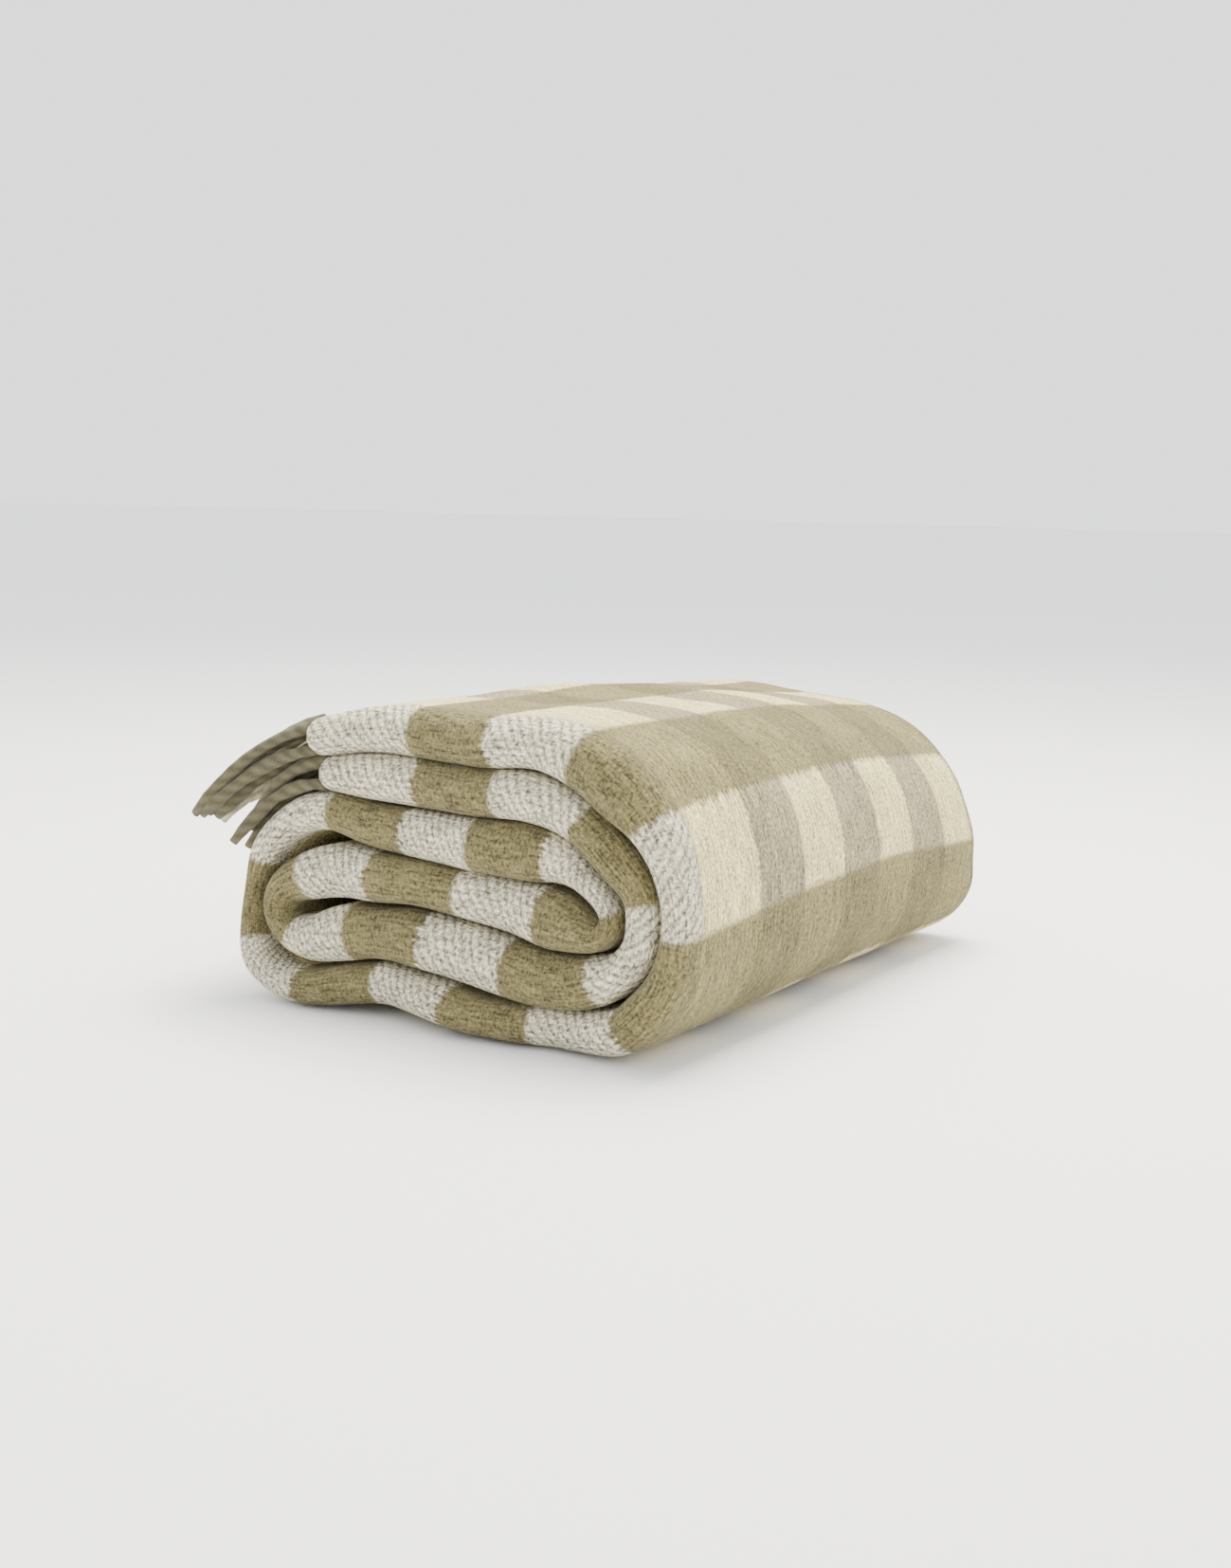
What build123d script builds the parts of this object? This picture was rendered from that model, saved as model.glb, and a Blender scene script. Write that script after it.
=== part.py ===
"""A fringed wool throw, folded in three along its length, doubled and rolled up flat.

The cloth is one woven sheet. It is divided here at its bends, so that the two
plies that end on top of the roll can lift, and their fringes can swing.

Millimetres. Origin: the middle of the face that the roll rests on.
+X points across the roll, away from the fringes; +Y along it; +Z up.
"""

from build123d import *

import os
from math import cos, radians, sin

# --- driving dimensions ----------------------------------------------------------
ROLL_LENGTH = 432.0  # one leaf of the cloth: a third of its 1296 mm width
LEAF = 10.0  # one layer of brushed cloth with the air in its nap
LEAVES_IN_PLY = 3  # the cloth is folded in three before it is rolled
PLY_GAP = 0.5  # clearance between plies
LIFT_CLEARANCE = 0.5  # between a lifting ply and the bend that it lifts from
RIGHT_BEND_X = 69.0  # the axis that the roll turns round on its plain side
LEFT_BEND_X = -99.0  # the axis that it turns round on its fringed side
NOSE_ROUNDING = 12.0  # rounding of the folded edges at both ends of the roll

OUTER_OVERHANG = 5.0  # the weave of the outer ply stops this far past the fringed side's axis
INNER_OVERHANG = 1.0  # the same, for the inner ply

TASSEL_DIAMETER = 7.0
TASSEL_LENGTH = 95.0
TASSEL_PITCH = 12.0  # from tassel to tassel along a row
TASSEL_ROW_STEP = 7.0  # from row to row: the rows nest, each tassel between two of the next row
TASSEL_BEND_RADIUS = 40.0
TASSEL_ROOT_ANGLE = 25.0  # degrees below level where a tassel leaves the cloth
TASSEL_TIP_ANGLE = 42.0  # degrees below level at its tip
FRINGE_PIVOT_GAP = 0.8  # from the end of the weave to the line that a fringe swings on
TASSEL_START = 5.0  # from that line to the root of a tassel, so that the rows swing clear
INNER_PIVOT_RISE = 5.0  # keeps the inner fringe above the bend that it lies over

# --- levels of the six plies, from the floor up ------------------------------------
PLY = LEAF * LEAVES_IN_PLY
STEP_UP = PLY + PLY_GAP
OUTER_BASE, INNER_BASE, INNER_CORE, OUTER_CORE, INNER_TOP, OUTER_TOP = (
    PLY / 2 + STEP_UP * step for step in range(6)
)
RIGHT_BEND_Z = (OUTER_BASE + OUTER_TOP) / 2
LEFT_BEND_Z = (OUTER_BASE + OUTER_CORE) / 2

# --- where the weave stops and the fringes start ------------------------------------
OUTER_END_X = LEFT_BEND_X - OUTER_OVERHANG
INNER_END_X = LEFT_BEND_X - INNER_OVERHANG
NEST_SHIFT = TASSEL_PITCH / 4  # a row moves this far one way, and the next row the other way
TASSELS_IN_ROW = int((ROLL_LENGTH - 2 * NEST_SHIFT) / TASSEL_PITCH)


def round_noses(piece, kind):
    """Round the edges at both ends of the roll, where the cloth folds over.

    Kind picks the edges that run along the ply: Axis.X on a run, circles on a bend.
    """
    ends = piece.faces().filter_by(Axis.Y)
    fillet(ends.edges().filter_by(kind), radius=NOSE_ROUNDING)


def straight_run(left, right, level):
    """One ply lying flat from left to right, with its middle at a level."""
    with BuildPart() as run:
        with BuildSketch(Plane.XZ):
            with Locations(((left + right) / 2, level)):
                Rectangle(right - left, PLY)
        extrude(amount=ROLL_LENGTH / 2, both=True)
        round_noses(run, Axis.X)
    return run


def bend(centre_x, centre_z, lower_level, side):
    """One ply turning half round an axis: side is 1 to the right, -1 to the left."""
    middle = centre_z - lower_level
    outside = middle + PLY / 2
    inside = middle - PLY / 2
    with BuildPart() as turn:
        with BuildSketch(Plane.XZ):
            with Locations((centre_x, centre_z)):
                Circle(outside)
                if inside > PLY_GAP:
                    Circle(inside, mode=Mode.SUBTRACT)
            with Locations((centre_x - side * outside, centre_z)):
                Rectangle(2 * outside, 2 * outside, mode=Mode.SUBTRACT)
        extrude(amount=ROLL_LENGTH / 2, both=True)
        round_noses(turn, GeomType.CIRCLE)
    return turn


def tassel():
    """One tassel from its root, level with the origin, bending down towards -X."""
    half = TASSEL_LENGTH / 2
    knee = (-half * cos(radians(TASSEL_ROOT_ANGLE)), -half * sin(radians(TASSEL_ROOT_ANGLE)))
    tip = (
        knee[0] - half * cos(radians(TASSEL_TIP_ANGLE)),
        knee[1] - half * sin(radians(TASSEL_TIP_ANGLE)),
    )
    with BuildPart() as strand:
        with BuildLine(Plane.XZ) as route:
            FilletPolyline((0, 0), knee, tip, radius=TASSEL_BEND_RADIUS)
        start = Plane(origin=route.line @ 0, z_dir=route.line % 0)
        with BuildSketch(start):
            Circle(TASSEL_DIAMETER / 2)
        sweep()
    return strand.part


def tassel_row(pivot_x, pivot_z, row, shift):
    """The tassels of one leaf. Row is 1 for the upper leaf, 0 and -1 below it."""
    across = TASSEL_ROW_STEP * row
    angle = radians(TASSEL_ROOT_ANGLE)
    root_x = pivot_x - TASSEL_START * cos(angle) - across * sin(angle)
    root_z = pivot_z - TASSEL_START * sin(angle) + across * cos(angle)
    strand = tassel()
    with BuildPart() as strands:
        with Locations((root_x, shift, root_z)):
            with GridLocations(1, TASSEL_PITCH, 1, TASSELS_IN_ROW):
                add(strand)
    return strands


os.makedirs("parts", exist_ok=True)

# --- the woven sheet, ply by ply ---------------------------------------------------
sheet = {
    "outer_ply_top": straight_run(OUTER_END_X, RIGHT_BEND_X - LIFT_CLEARANCE, OUTER_TOP),
    "outer_ply_side": bend(RIGHT_BEND_X, RIGHT_BEND_Z, OUTER_BASE, side=1),
    "outer_ply_base": straight_run(LEFT_BEND_X, RIGHT_BEND_X, OUTER_BASE),
    "outer_ply_turn": bend(LEFT_BEND_X, LEFT_BEND_Z, OUTER_BASE, side=-1),
    "outer_ply_core": straight_run(LEFT_BEND_X, RIGHT_BEND_X, OUTER_CORE),
    "core_fold": bend(RIGHT_BEND_X, RIGHT_BEND_Z, INNER_CORE, side=1),
    "inner_ply_core": straight_run(LEFT_BEND_X, RIGHT_BEND_X, INNER_CORE),
    "inner_ply_turn": bend(LEFT_BEND_X, LEFT_BEND_Z, INNER_BASE, side=-1),
    "inner_ply_base": straight_run(LEFT_BEND_X, RIGHT_BEND_X, INNER_BASE),
    "inner_ply_side": bend(RIGHT_BEND_X, RIGHT_BEND_Z, INNER_BASE, side=1),
    "inner_ply_top": straight_run(INNER_END_X, RIGHT_BEND_X - LIFT_CLEARANCE, INNER_TOP),
}

# --- the two fringes, a row of tassels to each leaf ---------------------------------
outer_pivot_x = OUTER_END_X - FRINGE_PIVOT_GAP
inner_pivot_x = INNER_END_X - FRINGE_PIVOT_GAP
inner_pivot_z = INNER_TOP + INNER_PIVOT_RISE
fringes = {}
for row_name, row in (("upper", 1), ("middle", 0), ("lower", -1)):
    shift = NEST_SHIFT * (-1) ** row
    outer_row = tassel_row(outer_pivot_x, OUTER_TOP, row, shift)
    inner_row = tassel_row(inner_pivot_x, inner_pivot_z, row, -shift)
    fringes[f"outer_fringe_{row_name}_row"] = outer_row
    fringes[f"inner_fringe_{row_name}_row"] = inner_row

for name, piece in {**sheet, **fringes}.items():
    piece.part.label = name
    export_step(piece.part, f"parts/{name}.step")

print("roll height", OUTER_TOP + PLY / 2)
print("roll from", LEFT_BEND_X - LEFT_BEND_Z, "to", RIGHT_BEND_X + RIGHT_BEND_Z)
print("lift axis, outer ply", (RIGHT_BEND_X, OUTER_TOP + PLY / 2))
print("lift axis, inner ply", (RIGHT_BEND_X, INNER_TOP + PLY / 2))
print("swing axis, outer fringe", (outer_pivot_x, OUTER_TOP))
print("swing axis, inner fringe", (inner_pivot_x, inner_pivot_z))
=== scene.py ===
# %% [markdown]
# # A wool camp blanket, folded and rolled
#
# The real object is one woven cloth with a fringe of twisted yarn at each end. Someone has folded it in
# three along its length, doubled it end to end, and rolled it up flat. It is modelled in the same order
# here: first the route that the folded cloth takes, then the folds, then the cloth itself, the fringes and
# the finishes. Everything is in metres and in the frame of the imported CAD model, whose solids it stands
# for.

# %% Load the frame
import math

import bpy
import numpy as np
from mathutils import Matrix, Vector


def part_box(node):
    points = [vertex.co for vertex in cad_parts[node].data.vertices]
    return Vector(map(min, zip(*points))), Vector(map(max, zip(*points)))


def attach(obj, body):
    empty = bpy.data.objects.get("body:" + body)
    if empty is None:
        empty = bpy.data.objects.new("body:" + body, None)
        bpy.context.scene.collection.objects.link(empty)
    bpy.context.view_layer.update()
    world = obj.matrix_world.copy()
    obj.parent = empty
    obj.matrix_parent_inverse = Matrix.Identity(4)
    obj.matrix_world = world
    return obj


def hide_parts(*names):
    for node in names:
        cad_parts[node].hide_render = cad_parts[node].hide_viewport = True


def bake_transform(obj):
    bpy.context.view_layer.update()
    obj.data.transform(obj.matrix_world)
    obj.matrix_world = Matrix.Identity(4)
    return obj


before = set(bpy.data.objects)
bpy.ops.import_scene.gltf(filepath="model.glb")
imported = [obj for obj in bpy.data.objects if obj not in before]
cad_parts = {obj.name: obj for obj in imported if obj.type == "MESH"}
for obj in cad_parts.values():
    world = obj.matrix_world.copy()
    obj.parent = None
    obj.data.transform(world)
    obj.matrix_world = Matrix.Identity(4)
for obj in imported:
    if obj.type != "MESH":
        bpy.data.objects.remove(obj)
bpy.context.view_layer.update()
bpy.ops.object.select_all(action="DESELECT")
MM = 0.001

# %% [markdown]
# ## The viewpoint
#
# A camera comes first, so that every later step can be judged from the same place. It stands to the right
# of the open end of the roll, a little above its top, and looks slightly down.

# %% Camera
LOOK_TURN = math.radians(31.8)
LOOK_DOWN = math.radians(8.1)
LOOK_ROLL = math.radians(1.2)
bpy.ops.object.camera_add(location=(0.641, -1.080, 0.298))
camera = bpy.context.object
camera.name = "viewpoint"
camera.data.lens = 45.7
turn = Matrix.Rotation(LOOK_TURN, 3, "Z") @ Matrix.Rotation(math.pi / 2 - LOOK_DOWN, 3, "X")
camera.rotation_euler = (turn @ Matrix.Rotation(LOOK_ROLL, 3, "Z")).to_euler()
bpy.context.scene.camera = camera
print("camera at", [round(v, 3) for v in camera.location])

# %% [markdown]
# ## Floor and light
#
# Brushed wool has no gloss, so its shape only shows in slow changes of tone. A bright, even surround gives
# those, with a large warm light overhead that models the folds and a weak one on the plain side.

# %% Floor and light
bpy.ops.mesh.primitive_plane_add(size=60, location=(0, 0, 0))
floor = bpy.context.object
floor.name = "floor"
floor_finish = bpy.data.materials.new("pale_floor")
floor_finish.use_nodes = True
floor_shader = floor_finish.node_tree.nodes["Principled BSDF"]
floor_shader.inputs["Base Color"].default_value = (0.90, 0.90, 0.90, 1)
floor_shader.inputs["Roughness"].default_value = 0.7
floor.data.materials.append(floor_finish)

world = bpy.data.worlds.new("studio")
world.use_nodes = True
world.node_tree.nodes["Background"].inputs["Color"].default_value = (0.975, 0.988, 1.0, 1)
world.node_tree.nodes["Background"].inputs["Strength"].default_value = 2.0
bpy.context.scene.world = world


def soft_light(name, place, aim, width, power, tint):
    """A square studio light at a place, turned towards a point."""
    bpy.ops.object.light_add(type="AREA", location=place)
    lamp = bpy.context.object
    lamp.name = name
    lamp.data.size = width
    lamp.data.energy = power
    lamp.data.color = tint
    lamp.rotation_euler = (Vector(aim) - Vector(place)).to_track_quat("-Z", "Y").to_euler()
    return lamp


soft_light("overhead_light", (-0.05, 0.40, 1.9), (0, 0, 0.1), 1.3, 125, (1.0, 0.95, 0.82))
soft_light("side_light", (1.5, 0.35, 1.25), (0.05, 0, 0.1), 1.0, 5, (1.0, 0.92, 0.76))

# %% [markdown]
# ## The route of the ply
#
# Folded in three, the cloth is a thick soft band, called the ply here. Seen from the open end, the ply
# starts at the outer fringe, runs over the top, round the right side, under the roll, up the left side and
# in to the core. There it doubles back on itself and follows its own first lap to the inner fringe. A
# smooth curve through chosen points gives that route, and the third number at each point is how thick the
# ply is there, because soft cloth is squeezed where it turns and swells where it has room.

# %% Points along the ply
PLY_ROUTE = [  # x, z and thickness, in millimetres
    (-103, 160, 22), (-61, 167, 27), (9, 166, 29), (50, 167, 28), (76, 161, 33), (101, 147, 35),
    (119, 131, 27), (130, 111, 22), (136, 90, 18), (136, 72, 18), (132, 50, 22), (120, 31, 26),
    (103, 18, 25), (52, 13, 23), (11, 13, 22), (-24, 18, 24), (-61, 20, 25), (-109, 12, 22),
    (-132, 13, 20), (-150, 24, 19), (-155, 44, 18), (-152, 68, 15), (-142, 92, 17), (-123, 110, 21),
    (-98, 118, 23), (-61, 112, 26), (-3, 109, 29), (44, 108, 32), (62, 106, 27),
    (82, 95, 16), (98, 80, 13), (94, 70, 15),  # the core, where the cloth is doubled
    (63, 73, 32), (44, 75, 32), (-3, 80, 28), (-32, 83, 26), (-61, 83, 29), (-90, 83, 32),
    (-112, 78, 29), (-129, 69, 23), (-133, 56, 21), (-126, 44, 22), (-110, 41, 27), (-86, 47, 33),
    (-61, 50, 30), (-32, 51, 34), (0, 46, 34), (52, 40, 32), (85, 43, 29), (103, 51, 22),
    (114, 64, 21), (116, 78, 20), (113, 95, 21), (98, 111, 25), (73, 129, 25), (45, 138, 27),
    (10, 138, 28), (-61, 140, 27), (-97, 140, 21),
]


def smooth_route(points, samples):
    """Even samples of the smooth curve through the points, and how far along it each one is."""
    points = np.array(points, float) * MM
    chord = np.linalg.norm(np.diff(points[:, :2], axis=0), axis=1) ** 0.5
    knots = np.concatenate(([0], np.cumsum(chord)))
    before = np.diff(points, axis=0)[:-1] / chord[:-1, None]
    after = np.diff(points, axis=0)[1:] / chord[1:, None]
    share = (chord[:-1] / (chord[:-1] + chord[1:]))[:, None]
    slopes = np.vstack((
        (points[1] - points[0]) / chord[0],
        before * (1 - share) + after * share,
        (points[-1] - points[-2]) / chord[-1],
    ))
    at = np.linspace(0, knots[-1], samples * 4)
    span = np.clip(np.searchsorted(knots, at, side="right") - 1, 0, len(chord) - 1)
    width = chord[span][:, None]
    t = (at[:, None] - knots[span][:, None]) / width
    curve = (
        (2 * t**3 - 3 * t**2 + 1) * points[span] + (t**3 - 2 * t**2 + t) * width * slopes[span]
        + (3 * t**2 - 2 * t**3) * points[span + 1] + (t**3 - t**2) * width * slopes[span + 1]
    )
    along = np.concatenate(([0], np.cumsum(np.linalg.norm(np.diff(curve[:, :2], axis=0), axis=1))))
    even = np.linspace(0, along[-1], samples)
    return even, np.column_stack([np.interp(even, along, curve[:, k]) for k in range(3)])


route_at, route = smooth_route(PLY_ROUTE, 3600)
CLOTH_LENGTH = float(route_at[-1])
route_way = np.gradient(route[:, :2], route_at, axis=0)
route_way /= np.linalg.norm(route_way, axis=1)[:, None]
print("cloth length", round(CLOTH_LENGTH, 3))

# %% [markdown]
# ## The fold in three
#
# Across its width the cloth is folded like a letter. It starts with a loose selvedge near the far end, runs
# forward over the outside of the ply, turns round the front nose, runs back under it, turns at the far nose
# and ends between the other two leaves. The fold is worked out as straight runs and half circles, so any
# distance across the cloth gives a place across the ply.

# %% Across the cloth
roll_low, roll_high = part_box("outer_ply_base")
FRONT = roll_low.y
BACK = roll_high.y
NAP = 7 * MM  # one layer of brushed cloth
LEAF_STEP = 11.3 * MM  # from leaf to leaf in the folded ply
FULL_PLY = 2 * LEAF_STEP + NAP
SELVEDGE_INSET = 10 * MM  # the loose selvedge stops this far short of the far end
TUCK_INSET = 30 * MM  # the tucked one stops this far short of the front

front_axis = FRONT + LEAF_STEP + NAP / 2
back_axis = BACK - LEAF_STEP / 2 - NAP / 2
loose_edge = BACK - SELVEDGE_INSET
FRONT_TURN = loose_edge - front_axis
FRONT_TURN_END = FRONT_TURN + math.pi * LEAF_STEP
BACK_TURN = FRONT_TURN_END + back_axis - front_axis
BACK_TURN_END = BACK_TURN + math.pi * LEAF_STEP / 2
CLOTH_WIDTH = BACK_TURN_END + back_axis - (FRONT + TUCK_INSET)
NOSE = (FRONT_TURN + FRONT_TURN_END) / 2  # the middle of the front nose


def fold_in_three(across):
    """Where a distance across the cloth lies in the ply: along the roll, and out from its middle leaf."""
    front_angle = (across - FRONT_TURN) / LEAF_STEP
    back_angle = (across - BACK_TURN) / (LEAF_STEP / 2)
    stretch = [
        across <= FRONT_TURN, across <= FRONT_TURN_END, across <= BACK_TURN, across <= BACK_TURN_END,
    ]
    along_roll = np.select(stretch, [
        loose_edge - across,
        front_axis - LEAF_STEP * np.sin(front_angle),
        front_axis + across - FRONT_TURN_END,
        back_axis + LEAF_STEP / 2 * np.sin(back_angle),
    ], back_axis - (across - BACK_TURN_END))
    out = np.select(stretch, [
        LEAF_STEP + 0 * across,
        LEAF_STEP * np.cos(front_angle),
        -LEAF_STEP + 0 * across,
        -LEAF_STEP / 2 * (1 + np.cos(back_angle)),
    ], 0 * across)
    return along_roll, out


print("cloth width", round(CLOTH_WIDTH, 3), "ply", round(FULL_PLY, 4))

# %% [markdown]
# ## Soft unevenness
#
# Nothing soft is quite straight. A slow, smooth wander made of a few sine waves moves neighbouring layers
# together, so that they keep about the spacing that the route gives them. It is weak at the open end, where
# the route is drawn most closely. A second wander, along the cloth, lets the noses at both ends stand out
# and sink back a little.


# %% Slow wander
def wander(points, wavelength, seed, waves=7):
    """A smooth field from about -1 to 1 over points of any dimension, the same for the same seed."""
    chance = np.random.default_rng(seed)
    total = np.zeros(points.shape[:-1])
    for _ in range(waves):
        direction = chance.normal(size=points.shape[-1])
        direction /= np.linalg.norm(direction)
        pace = 2 * math.pi / (wavelength * chance.uniform(0.7, 1.6))
        total += np.sin(points @ direction * pace + chance.uniform(0, 2 * math.pi))
    return total / math.sqrt(waves * 1.5)


def ease(value, low, high):
    """0 below low, 1 above high and a smooth step between."""
    t = np.clip((value - low) / (high - low), 0, 1)
    return t * t * (3 - 2 * t)


# %% [markdown]
# ## From cloth to roll
#
# This is the heart of the model. A point of the flat cloth is known by how far along it is from the outer
# fringe and how far across it is from the loose selvedge. The fold says where that lies in the ply, the
# route carries it round the roll, and the wander loosens it. Towards the far end the cloth is wound a
# little further round and the roll sinks, most of all at the shoulder on its plain side.

# %% Lay a point of cloth in the roll
NOSE_REACH = 60 * MM  # how far from an end of the roll its noses wander
SKEW = 0.042  # how much further the cloth is wound for each metre towards the far end
SQUARE_END = 180 * MM  # near its fringes the cloth lies square again
FRONT_WANDER = ((3.2 * MM, 0.13, 3), (1.0 * MM, 0.045, 4))  # size, wavelength in metres and seed
BACK_WANDER = ((4.0 * MM, 0.15, 5), (1.2 * MM, 0.05, 6))
FRONT_SHIFT = 1.5 * MM  # the front noses sink back by this much
BACK_SHIFT = 2.5 * MM  # and the far ones come forward by this much
SWAY = ((2.6 * MM, 0.21, 11), (0.7 * MM, 0.075, 21))
SWAY_SHARES = (0.35, 0.3, 1.0)  # across the roll, along it and upwards
SINK = 0.07  # how much lower the roll is at its far end
SHOULDER_SINK = 0.10  # how much lower still its shoulder is
SHOULDER_PULL = 0.05  # how much narrower its plain side is there
FLOOR_GAP = 2 * MM  # the cloth's middle comes no lower than this
FLOOR_SOFTNESS = 1.2 * MM


def summed_wander(points, parts, extra_seed=0):
    """Several wanders added up, each with its size, its wavelength and its seed."""
    return sum(size * wander(points, wavelength, seed + extra_seed) for size, wavelength, seed in parts)


def lay(along, across):
    """The place of the cloth's middle surface, for distances along and across it."""
    along, across = np.broadcast_arrays(along, across)
    roll_y, out = fold_in_three(across)
    inside = ease(along, 0, SQUARE_END) * ease(CLOTH_LENGTH - along, 0, SQUARE_END)
    wound = along - SKEW * (roll_y - FRONT) * inside
    centre_x, centre_z, thick = (np.interp(wound, route_at, route[:, k]) for k in range(3))
    way_x, way_z = (np.interp(wound, route_at, route_way[:, k]) for k in range(2))
    size = np.hypot(way_x, way_z)
    beyond = np.minimum(along, 0) + np.maximum(along - CLOTH_LENGTH, 0)
    centre_x = centre_x + beyond * way_x / size
    centre_z = centre_z + beyond * way_z / size
    out = out * thick / FULL_PLY
    place = np.stack((centre_x - way_z / size * out, roll_y, centre_z + way_x / size * out), axis=-1)

    lap = along[..., None]
    near_front = 1 - ease(place[..., 1], FRONT, FRONT + NOSE_REACH)
    near_back = ease(place[..., 1], BACK - NOSE_REACH, BACK)
    front_wander = summed_wander(lap, FRONT_WANDER) + FRONT_SHIFT
    back_wander = summed_wander(lap, BACK_WANDER) - BACK_SHIFT
    place[..., 1] += near_front * front_wander + near_back * back_wander

    sway = np.stack([summed_wander(place, SWAY, k) for k in range(3)], axis=-1)
    off_floor = ease(place[..., 2], 2 * MM, 45 * MM)[..., None]
    off_front = ease(place[..., 1], FRONT, FRONT + 160 * MM)[..., None]
    place = place + sway * (0.15 + 0.85 * off_floor) * (0.1 + 0.9 * off_front) * SWAY_SHARES
    slump = ease(place[..., 1], FRONT + 120 * MM, BACK + 40 * MM)
    shoulder = ease(place[..., 0], 0.0, 130 * MM)
    place[..., 0] -= SHOULDER_PULL * slump * np.maximum(place[..., 0], 0)
    place[..., 2] *= 1 - slump * (SINK + SHOULDER_SINK * shoulder)
    low = place[..., 2] - FLOOR_GAP
    place[..., 2] = FLOOR_GAP + (low + np.sqrt(low**2 + FLOOR_SOFTNESS**2)) / 2
    return place


print("outer fringe starts at", np.round(lay(0.0, 0.3), 3))

# %% [markdown]
# ## A cloth with two faces
#
# A sheet in Blender is a grid. Here the grid is drawn finer round the noses and at the edges, laid in the
# roll, and given its two brushed faces by moving half a nap out along the surface each way. The edges are
# rounded, because the nap closes over them. Where the ply turns, its front nose takes up or gives back a
# little cloth, so the check falls behind or catches up there, in a few eased steps.

# %% Weave a section of cloth
STEP_ALONG = 5.0 * MM
CHECK_LEAD = 5 * MM
CHECK_STEPS = (  # from, to, and how far the check falls behind between them, all in millimetres
    (200, 450, 24),  # down the plain side and along the floor
    (600, 680, -7),  # into the left turn
    (690, 750, 12),  # and out of it
    (780, 960, -20),  # to the core
    (1020, 1120, 6),  # back from the core
    (1180, 1280, -15),  # round the inner left turn
    (1330, 1560, 11),  # up the inner side
)
EDGE_ROWS = np.array([0, 0.4, 1.1, 2.1, 3.4]) * MM


def spaced(start, stop, step):
    """Evenly spaced values from start up to, but not including, stop."""
    count = max(1, round((stop - start) / step))
    return np.linspace(start, stop, count, endpoint=False)


across_rows = np.concatenate((
    EDGE_ROWS,
    spaced(7 * MM, FRONT_TURN - 24 * MM, 7.5 * MM),
    spaced(FRONT_TURN - 24 * MM, FRONT_TURN, 4 * MM),
    spaced(FRONT_TURN, FRONT_TURN_END, 2.7 * MM),
    spaced(FRONT_TURN_END, FRONT_TURN_END + 24 * MM, 4 * MM),
    spaced(FRONT_TURN_END + 24 * MM, BACK_TURN - 16 * MM, 8 * MM),
    spaced(BACK_TURN - 16 * MM, BACK_TURN, 4 * MM),
    spaced(BACK_TURN, BACK_TURN_END, 2 * MM),
    spaced(BACK_TURN_END, CLOTH_WIDTH - 6 * MM, 14 * MM),
    CLOTH_WIDTH - EDGE_ROWS[::-1],
))


def rounded_edge(distance):
    """The share of the full nap at a distance in from an edge of the cloth."""
    inside = np.clip(distance / EDGE_ROWS[-1], 0, 1)
    return np.sqrt(np.clip(1 - (1 - inside) ** 2, 0.03, 1))


def check_lag(along):
    """How far the check lies behind its even place, at a distance along the cloth."""
    steps = (lag * MM * ease(along, start * MM, stop * MM) for start, stop, lag in CHECK_STEPS)
    return sum(steps) - CHECK_LEAD


def two_faces(along, across):
    """The upper and lower face of the cloth over a grid of distances along and across it."""
    nudge = 0.6 * MM
    middle = lay(along, across)
    way_along = lay(along + nudge, across) - lay(along - nudge, across)
    way_across = lay(along, across + nudge) - lay(along, across - nudge)
    normal = np.cross(way_along, way_across)
    normal /= np.linalg.norm(normal, axis=-1)[..., None]
    squeeze = np.interp(along, route_at, route[:, 2]) / FULL_PLY
    edge = rounded_edge(np.minimum(across, CLOTH_WIDTH - across))
    edge = edge * rounded_edge(np.minimum(along, CLOTH_LENGTH - along))
    half = (NAP / 2 * squeeze * edge)[..., None]
    return middle + normal * half, middle - normal * half


def grid_faces(rows, columns, start, flip):
    """Four-sided faces over a grid of points that are numbered row by row."""
    corner = start + (np.arange(rows - 1)[:, None] * columns + np.arange(columns - 1)[None, :]).ravel()
    square = np.column_stack((corner, corner + columns, corner + columns + 1, corner + 1))
    return square[:, ::-1] if flip else square


def weave(name, start, stop):
    """A closed section of the folded cloth, from one distance along it to another."""
    along_rows = spaced(start, stop, STEP_ALONG)
    if start == 0:
        along_rows = np.concatenate((EDGE_ROWS, along_rows[1:]))
    if stop == CLOTH_LENGTH:
        along_rows = np.concatenate((along_rows[:-1], CLOTH_LENGTH - EDGE_ROWS[::-1]))
    else:
        along_rows = np.append(along_rows, stop)
    along, across = np.meshgrid(along_rows, across_rows, indexing="ij")
    upper, lower = two_faces(along, across)
    rows, columns = along.shape
    count = rows * columns
    number = np.arange(count).reshape(rows, columns)
    rim = np.concatenate((number[0, :], number[1:, -1], number[-1, -2::-1], number[-2:0:-1, 0]))
    following = np.roll(rim, -1)
    wall = np.column_stack((rim, following, following + count, rim + count))
    faces = np.vstack((
        grid_faces(rows, columns, 0, False), grid_faces(rows, columns, count, True), wall,
    ))
    mesh = bpy.data.meshes.new(name)
    corners = np.concatenate((upper.reshape(-1, 3), lower.reshape(-1, 3)))
    mesh.from_pydata(corners.tolist(), [], faces.tolist())
    eased = along - check_lag(along)
    flat_place = np.tile(np.column_stack((across.ravel(), eased.ravel())), (2, 1))
    uv = mesh.uv_layers.new(name="cloth_place")
    used = np.empty(len(mesh.loops), np.int32)
    mesh.loops.foreach_get("vertex_index", used)
    uv.data.foreach_set("uv", flat_place[used].ravel())
    mesh.update()
    piece = bpy.data.objects.new(name, mesh)
    bpy.context.scene.collection.objects.link(piece)
    bpy.context.view_layer.objects.active = piece
    piece.select_set(True)
    bpy.ops.object.shade_smooth_by_angle(angle=math.radians(62))
    piece.select_set(False)
    print(name, "faces", len(mesh.polygons))
    return piece


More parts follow.
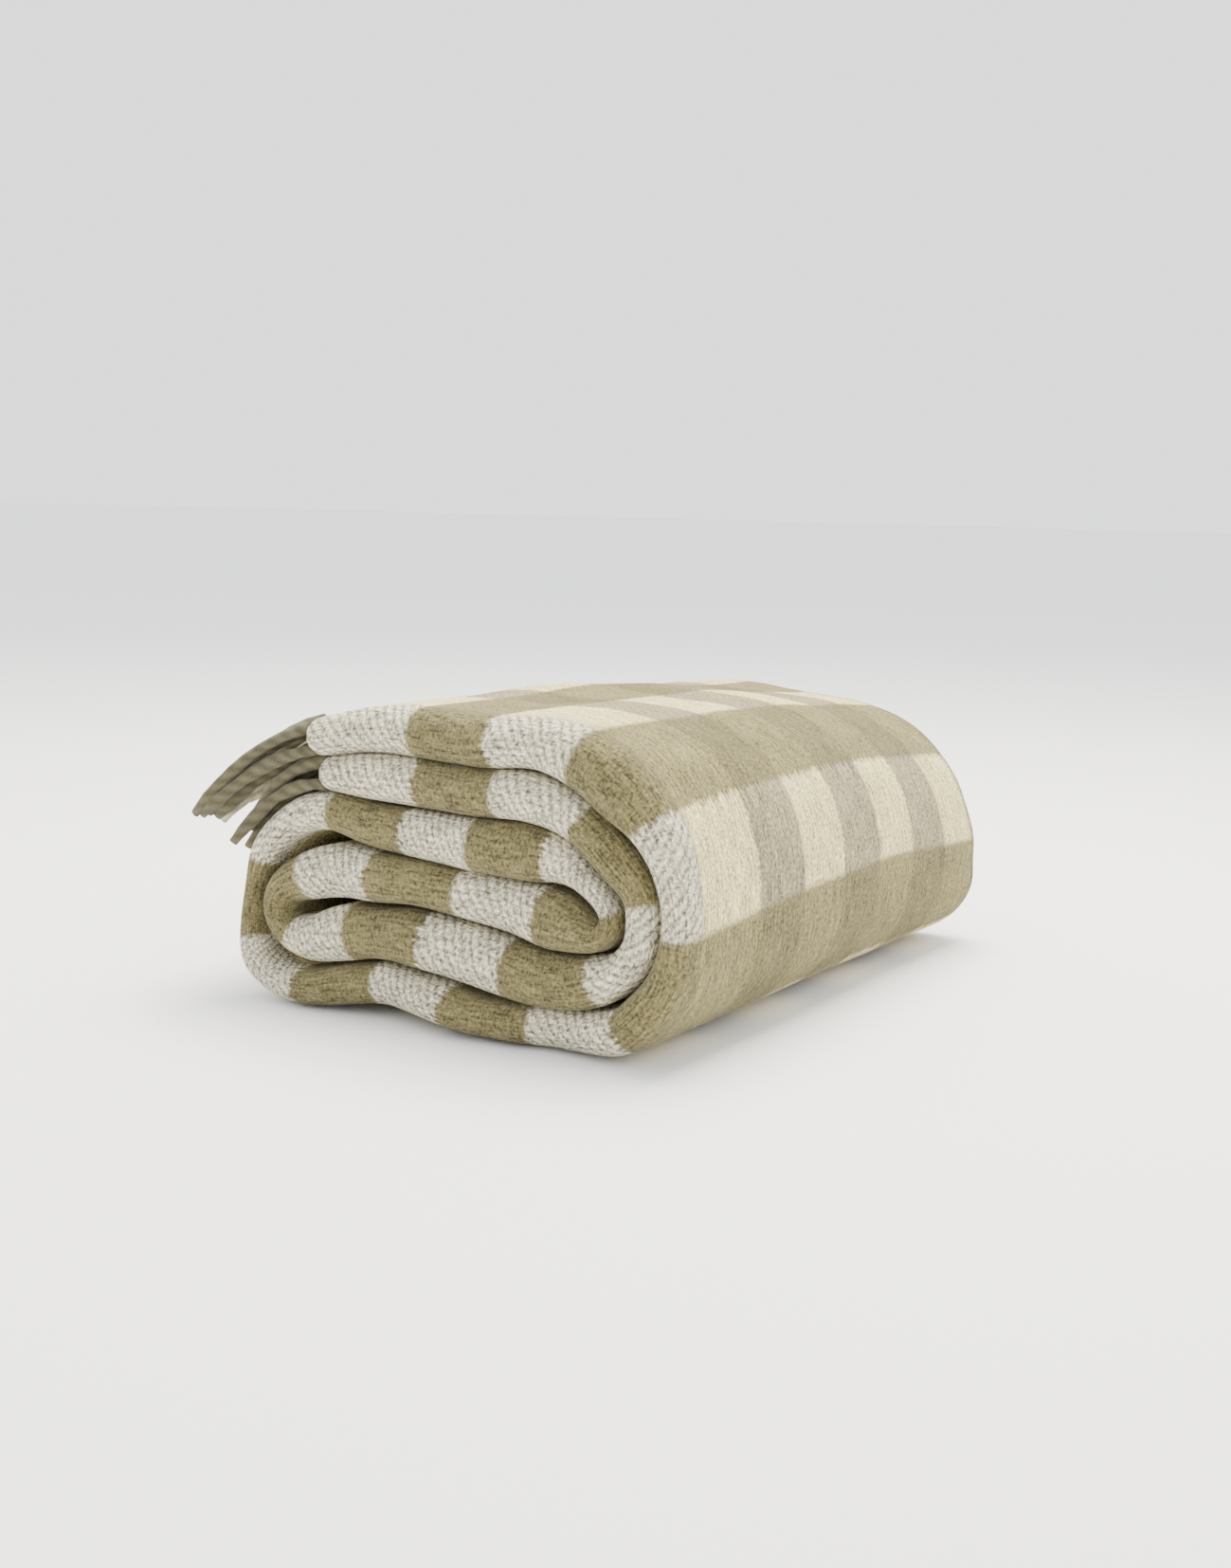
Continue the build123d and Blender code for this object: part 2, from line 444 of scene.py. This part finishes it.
# %% [markdown]
# ## The cloth, in three sections
#
# The blanket is one cloth, but the two plies that end on top can be lifted, and a piece can bend at only
# one joint. So it is woven in three sections that meet edge to edge in the two lowest plies, where nothing
# moves: the outer ply down to the floor, the heart of the roll, and the inner ply up to its fringe.

# %% Outer ply, heart and inner ply
OUTER_JOIN = 0.445
INNER_JOIN = CLOTH_LENGTH - 0.345
outer_cloth = weave("outer_ply_cloth", 0, OUTER_JOIN)
heart_cloth = weave("rolled_cloth", OUTER_JOIN, INNER_JOIN)
inner_cloth = weave("inner_ply_cloth", INNER_JOIN, CLOTH_LENGTH)
for name, at in (("outer join", OUTER_JOIN), ("inner join", INNER_JOIN)):
    print(name, np.round(lay(at, NOSE), 3))

# %% [markdown]
# ## The fringes
#
# At each end of the cloth the warp yarns are twisted into tassels, about as thick as a pencil. The cloth is
# folded in three, so its fringe hangs in three rows. A tassel leaves the end of its own leaf, droops under
# its weight and lies over the turn of the roll. It is olive or cream by the warp stripe that it grows from.
# One function makes a tassel as a lobed tube that turns as it goes, as two twisted strands look.

# %% Shape a tassel
TASSEL_PITCH = 12 * MM
TASSEL_RADIUS = 3.9 * MM
TWIST_LENGTH = 30 * MM
LOBE_DEPTH = 0.2  # how far the two strands stand out, as a share of the radius
STRIPE = 54 * MM  # one warp stripe of the check


def hanging_line(root, way, droop, length, lean, count=9):
    """Points of a tassel that starts along a direction and bends down by the droop angle."""
    points = [np.array(root, float)]
    step = length / (count - 1)
    heading = math.atan2(-way[2], -way[0])
    for k in range(count - 1):
        share = (k + 0.5) / (count - 1)
        angle = heading + droop * ease(share, -0.2, 0.9)
        side = lean * ease(share, 0.0, 0.7)
        move = np.array((-math.cos(angle), side, -math.sin(angle)))
        points.append(points[-1] + step * move / np.linalg.norm(move))
    return np.array(points)


def tassel_rings(line, radius, phase, sides=8):
    """Rings of points round a line, with two lobes that turn as it goes, thinning at the tip."""
    way = np.gradient(line, axis=0)
    way /= np.linalg.norm(way, axis=1)[:, None]
    side = np.cross(way, (0.0, 0.0, 1.0))
    side /= np.linalg.norm(side, axis=1)[:, None]
    over = np.cross(side, way)
    along = np.linspace(0, 1, len(line))
    length = np.linalg.norm(np.diff(line, axis=0), axis=1).sum()
    angle = np.linspace(0, 2 * math.pi, sides, endpoint=False)
    turned = along[:, None] * 2 * math.pi * length / TWIST_LENGTH
    lobes = 1 + LOBE_DEPTH * np.cos(2 * (angle[None, :] - phase - turned))
    taper = np.interp(along, (0, 0.1, 0.5, 0.88, 1), (0.95, 1.0, 0.95, 1.0, 0.62))
    size = radius * taper[:, None] * lobes
    return (
        line[:, None, :]
        + (size * np.cos(angle))[..., None] * side[:, None, :]
        + (size * np.sin(angle))[..., None] * over[:, None, :]
    )


# %% [markdown]
# A row of tassels is one piece. Each tassel gets its own length, droop and lean, with the first few at the
# open end of the roll fanned towards it, as loose cords do where nothing holds them.

# %% Hang a row of tassels
LEAF_PLACES = {  # the distance across the cloth of a place along the roll, leaf by leaf
    "outside": lambda y: loose_edge - y,
    "inside": lambda y: FRONT_TURN_END + y - front_axis,
    "between": lambda y: BACK_TURN_END + back_axis - y,
}
HEIGHT_OFF_FLOOR = 6 * MM
ROOT_DEPTH = 2 * MM  # a tassel starts this far inside the cloth
END_CLEARANCE = 7 * MM  # from the ends of the roll to the first and the last tassel
SELVEDGE_CLEARANCE = 4 * MM
FAN_DROOP = math.radians(6)  # the first tassels hang lower
FAN_LEAN = 0.16  # and lean towards the open end


def fringe_row(name, leaf, outer, seed, droop, length, nudge):
    """One row of tassels on one leaf, at the outer or the inner end of the cloth."""
    chance = np.random.default_rng(seed)
    places = np.arange(FRONT + END_CLEARANCE + nudge, BACK - END_CLEARANCE, TASSEL_PITCH)
    at, ahead = (ROOT_DEPTH, 0.0) if outer else (CLOTH_LENGTH - ROOT_DEPTH, CLOTH_LENGTH)
    corners, faces, flat_place, stripes = [], [], [], []
    for number, y in enumerate(places):
        across = LEAF_PLACES[leaf](y)
        if across > CLOTH_WIDTH - SELVEDGE_CLEARANCE or across < SELVEDGE_CLEARANCE:
            continue
        root = lay(at, across)
        way = lay(ahead, across) - root
        fan = math.exp(-number / 3.0)
        line = hanging_line(
            root, way,
            droop + math.radians(chance.normal(0, 4.0)) + FAN_DROOP * fan,
            length * (1 + chance.normal(0, 0.05)),
            chance.normal(0, 0.07) - FAN_LEAN * fan,
        )
        line[:, 2] = np.maximum(line[:, 2], HEIGHT_OFF_FLOOR)
        rings = tassel_rings(line, TASSEL_RADIUS * (1 + chance.normal(0, 0.06)), chance.uniform(0, 6.28))
        count, sides = rings.shape[:2]
        first = len(corners)
        corners.extend(rings.reshape(-1, 3).tolist())
        for ring in range(count - 1):
            for k in range(sides):
                following = (k + 1) % sides
                a, b = first + ring * sides, first + (ring + 1) * sides
                faces.append((a + k, b + k, b + following, a + following))
        faces.append([first + k for k in range(sides)])
        faces.append([first + (count - 1) * sides + k for k in reversed(range(sides))])
        distance = np.linspace(0, length, count)
        flat_place.extend((k / sides, d) for d in distance for k in range(sides))
        cream = abs((across - NOSE + STRIPE) % (2 * STRIPE) - STRIPE) > STRIPE / 2
        stripes.extend([float(cream)] * (count * sides))
    mesh = bpy.data.meshes.new(name)
    mesh.from_pydata(corners, [], faces)
    uv = mesh.uv_layers.new(name="yarn_place")
    used = np.empty(len(mesh.loops), np.int32)
    mesh.loops.foreach_get("vertex_index", used)
    uv.data.foreach_set("uv", np.array(flat_place)[used].ravel())
    stripe = mesh.attributes.new("cream_yarn", "FLOAT", "POINT")
    stripe.data.foreach_set("value", np.array(stripes, np.float32))
    mesh.polygons.foreach_set("use_smooth", [True] * len(mesh.polygons))
    mesh.update()
    piece = bpy.data.objects.new(name, mesh)
    bpy.context.scene.collection.objects.link(piece)
    print(name, "tassels", len(corners) // (count * sides))
    return piece


outer_rows = {
    "outer_fringe_upper_row": fringe_row(
        "outer_tassels_upper", "outside", True, 31, math.radians(31), 0.104, 0.0),
    "outer_fringe_middle_row": fringe_row(
        "outer_tassels_middle", "between", True, 32, math.radians(28), 0.102, 6 * MM),
    "outer_fringe_lower_row": fringe_row(
        "outer_tassels_lower", "inside", True, 33, math.radians(25), 0.099, 1 * MM),
}
inner_rows = {
    "inner_fringe_upper_row": fringe_row(
        "inner_tassels_upper", "inside", False, 34, math.radians(46), 0.085, 3 * MM),
    "inner_fringe_middle_row": fringe_row(
        "inner_tassels_middle", "between", False, 35, math.radians(50), 0.083, 9 * MM),
    "inner_fringe_lower_row": fringe_row(
        "inner_tassels_lower", "outside", False, 36, math.radians(52), 0.080, 0.0),
}

# %% [markdown]
# ## Finishes
#
# The check comes from stripes of olive and cream yarn in both directions. The weft lies on top and is
# brushed, so it gives most of the colour; where cream weft crosses olive warp the cloth is greige and its
# twill shows. All of it is worked out from the flat place of each point on the cloth, so the stripes follow
# every fold. The nap is a noise drawn out along the cloth, used in the colour and again in the bump.


# %% Node helpers
def add_node(tree, kind, **values):
    """A new node, with inputs set or linked by name and its own settings by name."""
    made = tree.nodes.new(kind)
    for key, value in values.items():
        if hasattr(made, key) and key not in made.inputs:
            setattr(made, key, value)
            continue
        socket = made.inputs[int(key[1:])] if key[0] == "i" and key[1:].isdigit() else made.inputs[key]
        if isinstance(value, bpy.types.NodeSocket):
            tree.links.new(value, socket)
        else:
            socket.default_value = value
    return made


def calculate(tree, operation, first, second=0.0, third=0.0):
    """The result of a Math node."""
    return add_node(tree, "ShaderNodeMath", operation=operation, i0=first, i1=second, i2=third).outputs[0]


def smooth_between(tree, value, low, high):
    """0 to 1 as a value goes from low to high."""
    made = add_node(tree, "ShaderNodeMapRange", interpolation_type="SMOOTHSTEP", Value=value)
    made.inputs["From Min"].default_value = low
    made.inputs["From Max"].default_value = high
    return made.outputs["Result"]


def mix_colours(tree, share, first, second, kind="MIX"):
    """The colour a share of the way from the first to the second."""
    made = add_node(tree, "ShaderNodeMix", data_type="RGBA", blend_type=kind)
    for socket, value in ((made.inputs[0], share), (made.inputs[6], first), (made.inputs[7], second)):
        if isinstance(value, bpy.types.NodeSocket):
            tree.links.new(value, socket)
        else:
            socket.default_value = value
    return made.outputs[2]


def noise(tree, vector, scale, detail=2.0, roughness=0.5):
    """The value of a noise over a vector."""
    made = add_node(tree, "ShaderNodeTexNoise", Vector=vector, Scale=scale, Detail=detail)
    made.inputs["Roughness"].default_value = roughness
    return made.outputs[0]


# %% [markdown]
# The stripes are distances folded back on themselves: a distance modulo two stripes, measured from the
# middle of an olive stripe, is under half a stripe inside it. A little noise is added to the distance
# first, so that the edge of a stripe is hairy and not ruled.

# %% Checked cloth
OLIVE = (0.150, 0.128, 0.058, 1)
LIGHT_OLIVE = (0.196, 0.168, 0.074, 1)
GREIGE = (0.240, 0.203, 0.112, 1)
CREAM = (0.62, 0.53, 0.265, 1)
TWILL_LIGHT = (0.55, 0.51, 0.39, 1)
TWILL_DARK = (0.25, 0.225, 0.155, 1)
FIRST_BAND = 75 * MM  # the cream band next to the outer fringe
LAST_BAND = 72 * MM  # and next to the inner one
BANDS_BETWEEN = 29
BAND = (CLOTH_LENGTH - FIRST_BAND - LAST_BAND) / BANDS_BETWEEN
EDGE_STRIPE = 12 * MM  # how much wider the cream stripe beside the nose is than the others
TWILL_PITCH = 6.2 * MM
TWILL_SLOPE = -0.75
DASH_PITCH = 2.9 * MM
RAGGED_ACROSS = 6 * MM  # how far the edge of a warp stripe strays
RAGGED_ALONG = 10 * MM  # and that of a weft band, which is brushed further
EDGE_BLUR = 2.0 * MM


def stripe_share(tree, distance, middle, half_width, blur):
    """0 in the olive stripes and 1 in the cream ones between them."""
    shifted = calculate(tree, "ADD", distance, 2 * half_width - middle)
    folded = calculate(tree, "FLOORED_MODULO", shifted, 4 * half_width)
    off_middle = calculate(tree, "ABSOLUTE", calculate(tree, "SUBTRACT", folded, 2 * half_width))
    return smooth_between(tree, off_middle, half_width - blur, half_width + blur)


def checked_cloth():
    """Brushed twill in an olive and cream check, drawn on the flat cloth."""
    finish = bpy.data.materials.new("checked_wool")
    finish.use_nodes = True
    tree = finish.node_tree
    shader = tree.nodes["Principled BSDF"]
    place = add_node(tree, "ShaderNodeUVMap", uv_map="cloth_place").outputs[0]
    split = add_node(tree, "ShaderNodeSeparateXYZ", Vector=place)
    across, along = split.outputs[0], split.outputs[1]

    drawn_out = add_node(
        tree, "ShaderNodeMapping", Vector=place, Scale=(1.0, 0.11, 1.0)).outputs[0]
    streaks = noise(tree, drawn_out, 620.0, 3.0, 0.65)
    tufts = noise(tree, place, 520.0, 2.0, 0.7)
    clouds = noise(tree, place, 26.0, 3.0, 0.55)

    combed = calculate(tree, "SUBTRACT", streaks, 0.5)
    tufted = calculate(tree, "SUBTRACT", tufts, 0.5)
    ragged_across = calculate(tree, "MULTIPLY_ADD", tufted, RAGGED_ACROSS, across)
    ragged_along = calculate(tree, "MULTIPLY_ADD", combed, RAGGED_ALONG, along)
    inwards = calculate(tree, "SUBTRACT", NOSE, ragged_across)
    widened = calculate(tree, "MULTIPLY", smooth_between(tree, inwards, 36 * MM, 84 * MM), EDGE_STRIPE)
    cream_warp = stripe_share(
        tree, calculate(tree, "SUBTRACT", inwards, widened), 0.0, STRIPE / 2, EDGE_BLUR)
    held_in = calculate(tree, "MAXIMUM", ragged_along, FIRST_BAND - BAND / 2)
    held_in = calculate(tree, "MINIMUM", held_in, CLOTH_LENGTH - LAST_BAND + BAND / 2)
    cream_weft = stripe_share(tree, held_in, FIRST_BAND + BAND / 2, BAND / 2, EDGE_BLUR)

    slant = calculate(tree, "MULTIPLY_ADD", across, TWILL_SLOPE, along)
    bent = calculate(tree, "MULTIPLY_ADD", tufted, 2.5 * MM, slant)
    wave = calculate(tree, "SINE", calculate(tree, "MULTIPLY", bent, 2 * math.pi / TWILL_PITCH))
    step = calculate(tree, "MULTIPLY_ADD", along, 0.45, across)
    dash = calculate(tree, "SINE", calculate(tree, "MULTIPLY", step, 2 * math.pi / DASH_PITCH))
    ridge = calculate(tree, "MULTIPLY_ADD", dash, 0.30, wave)
    ridge = calculate(tree, "MULTIPLY_ADD", tufted, 2.8, ridge)
    twill = smooth_between(tree, ridge, -1.7, 0.7)

    off_nose = calculate(tree, "ABSOLUTE", calculate(tree, "SUBTRACT", across, NOSE))
    brushed = smooth_between(tree, off_nose, 22 * MM, 32 * MM)
    twill_colour = mix_colours(tree, twill, TWILL_DARK, TWILL_LIGHT)
    flat_greige = mix_colours(tree, 0.12, GREIGE, twill_colour)
    mixed = mix_colours(tree, brushed, twill_colour, flat_greige)
    cream_band = mix_colours(tree, cream_warp, mixed, CREAM)
    olive_band = mix_colours(tree, cream_warp, OLIVE, LIGHT_OLIVE)
    check = mix_colours(tree, cream_weft, olive_band, cream_band)

    tone = calculate(tree, "MULTIPLY_ADD", combed, 2.8, 1.0)
    tone = calculate(tree, "MULTIPLY_ADD", tufted, 3.0, tone)
    cloudy = calculate(tree, "SUBTRACT", clouds, 0.5)
    tone = calculate(tree, "MULTIPLY_ADD", cloudy, 0.6, tone)
    shade = calculate(tree, "MAXIMUM", tone, 0.35)
    shade_colour = add_node(tree, "ShaderNodeCombineColor", Red=shade, Green=shade, Blue=shade).outputs[0]
    colour = mix_colours(tree, 1.0, check, shade_colour, "MULTIPLY")
    tree.links.new(colour, shader.inputs["Base Color"])

    height = calculate(tree, "MULTIPLY_ADD", streaks, 1.0, tufts)
    height = calculate(tree, "MULTIPLY_ADD", twill, 0.25, height)
    bump = add_node(tree, "ShaderNodeBump", Height=height, Strength=0.75, Distance=1.8 * MM)
    tree.links.new(bump.outputs[0], shader.inputs["Normal"])
    shader.inputs["Roughness"].default_value = 0.95
    shader.inputs["Specular IOR Level"].default_value = 0.15
    shader.inputs["Sheen Weight"].default_value = 0.10
    shader.inputs["Sheen Roughness"].default_value = 0.45
    shader.inputs["Sheen Tint"].default_value = (1.0, 0.95, 0.82, 1)
    return finish


cloth_finish = checked_cloth()
print("band", round(BAND, 4), "stripe", STRIPE)

# %% [markdown]
# The yarn of a tassel is the warp yarn itself, so it is a little darker than the brushed cloth. Its fine
# twist runs round it, which a wave over the tassel's own UV draws: once round is one in U, and V is in
# metres. The wave raises the strands in the bump and darkens the colour in the grooves between them, which
# is painted shade.

# %% Tassel yarn
OLIVE_YARN = (0.098, 0.087, 0.050, 1)
CREAM_YARN = (0.40, 0.36, 0.25, 1)
PLY_TWIST = 22 * MM


def tassel_yarn():
    """Twisted wool yarn, olive or cream by the warp stripe that it grows from."""
    finish = bpy.data.materials.new("twisted_yarn")
    finish.use_nodes = True
    tree = finish.node_tree
    shader = tree.nodes["Principled BSDF"]
    place = add_node(tree, "ShaderNodeUVMap", uv_map="yarn_place").outputs[0]
    split = add_node(tree, "ShaderNodeSeparateXYZ", Vector=place)
    round_it, along = split.outputs[0], split.outputs[1]
    strand = calculate(tree, "MULTIPLY_ADD", along, 1 / PLY_TWIST, round_it)
    twist = calculate(tree, "SINE", calculate(tree, "MULTIPLY", strand, 4 * math.pi))
    solid_place = add_node(tree, "ShaderNodeTexCoord").outputs["Object"]
    fluff = noise(tree, solid_place, 700.0, 3.0, 0.65)
    patches = noise(tree, solid_place, 120.0, 2.0, 0.5)
    cream = add_node(tree, "ShaderNodeAttribute", attribute_name="cream_yarn").outputs["Fac"]
    yarn = mix_colours(tree, cream, OLIVE_YARN, CREAM_YARN)
    tone = calculate(tree, "MULTIPLY_ADD", fluff, 0.55, calculate(tree, "MULTIPLY", patches, 0.45))
    # painted shade: the twist wave darkens the yarn colour in the grooves between the two strands
    tone = calculate(tree, "MULTIPLY_ADD", twist, 0.22, tone)
    shade = calculate(tree, "ADD", tone, 0.5)
    shade_colour = add_node(tree, "ShaderNodeCombineColor", Red=shade, Green=shade, Blue=shade).outputs[0]
    colour = mix_colours(tree, 1.0, yarn, shade_colour, "MULTIPLY")
    tree.links.new(colour, shader.inputs["Base Color"])
    height = calculate(tree, "MULTIPLY_ADD", twist, 0.35, fluff)
    bump = add_node(tree, "ShaderNodeBump", Height=height, Strength=0.6, Distance=1.0 * MM)
    tree.links.new(bump.outputs[0], shader.inputs["Normal"])
    shader.inputs["Roughness"].default_value = 0.95
    shader.inputs["Specular IOR Level"].default_value = 0.15
    shader.inputs["Sheen Weight"].default_value = 0.1
    shader.inputs["Sheen Roughness"].default_value = 0.5
    return finish


yarn_finish = tassel_yarn()

# %% [markdown]
# ## Join the pieces to the frame
#
# Each section of cloth stands for the CAD solids of its plies. The roll, which stays still, is attached to
# the root body; the two upper plies and each tassel row are set in place in the frame, and the solids they
# stand for are hidden.

# %% Finish, bodies and CAD nodes
for piece in (outer_cloth, heart_cloth, inner_cloth):
    piece.data.materials.append(cloth_finish)

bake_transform(outer_cloth)
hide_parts("outer_ply_top", "outer_ply_side")
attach(heart_cloth, "root")
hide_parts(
    "outer_ply_base", "outer_ply_turn", "outer_ply_core", "core_fold",
    "inner_ply_core", "inner_ply_turn", "inner_ply_base",
)
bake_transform(inner_cloth)
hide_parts("inner_ply_side", "inner_ply_top")

for rows, flap, fringe, level in (
    (outer_rows, "outer_flap", "outer_fringe", 0.1675),
    (inner_rows, "inner_flap", "inner_fringe", 0.142),
):
    for node, piece in rows.items():
        piece.data.materials.append(yarn_finish)
        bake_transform(piece)
        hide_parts(node)
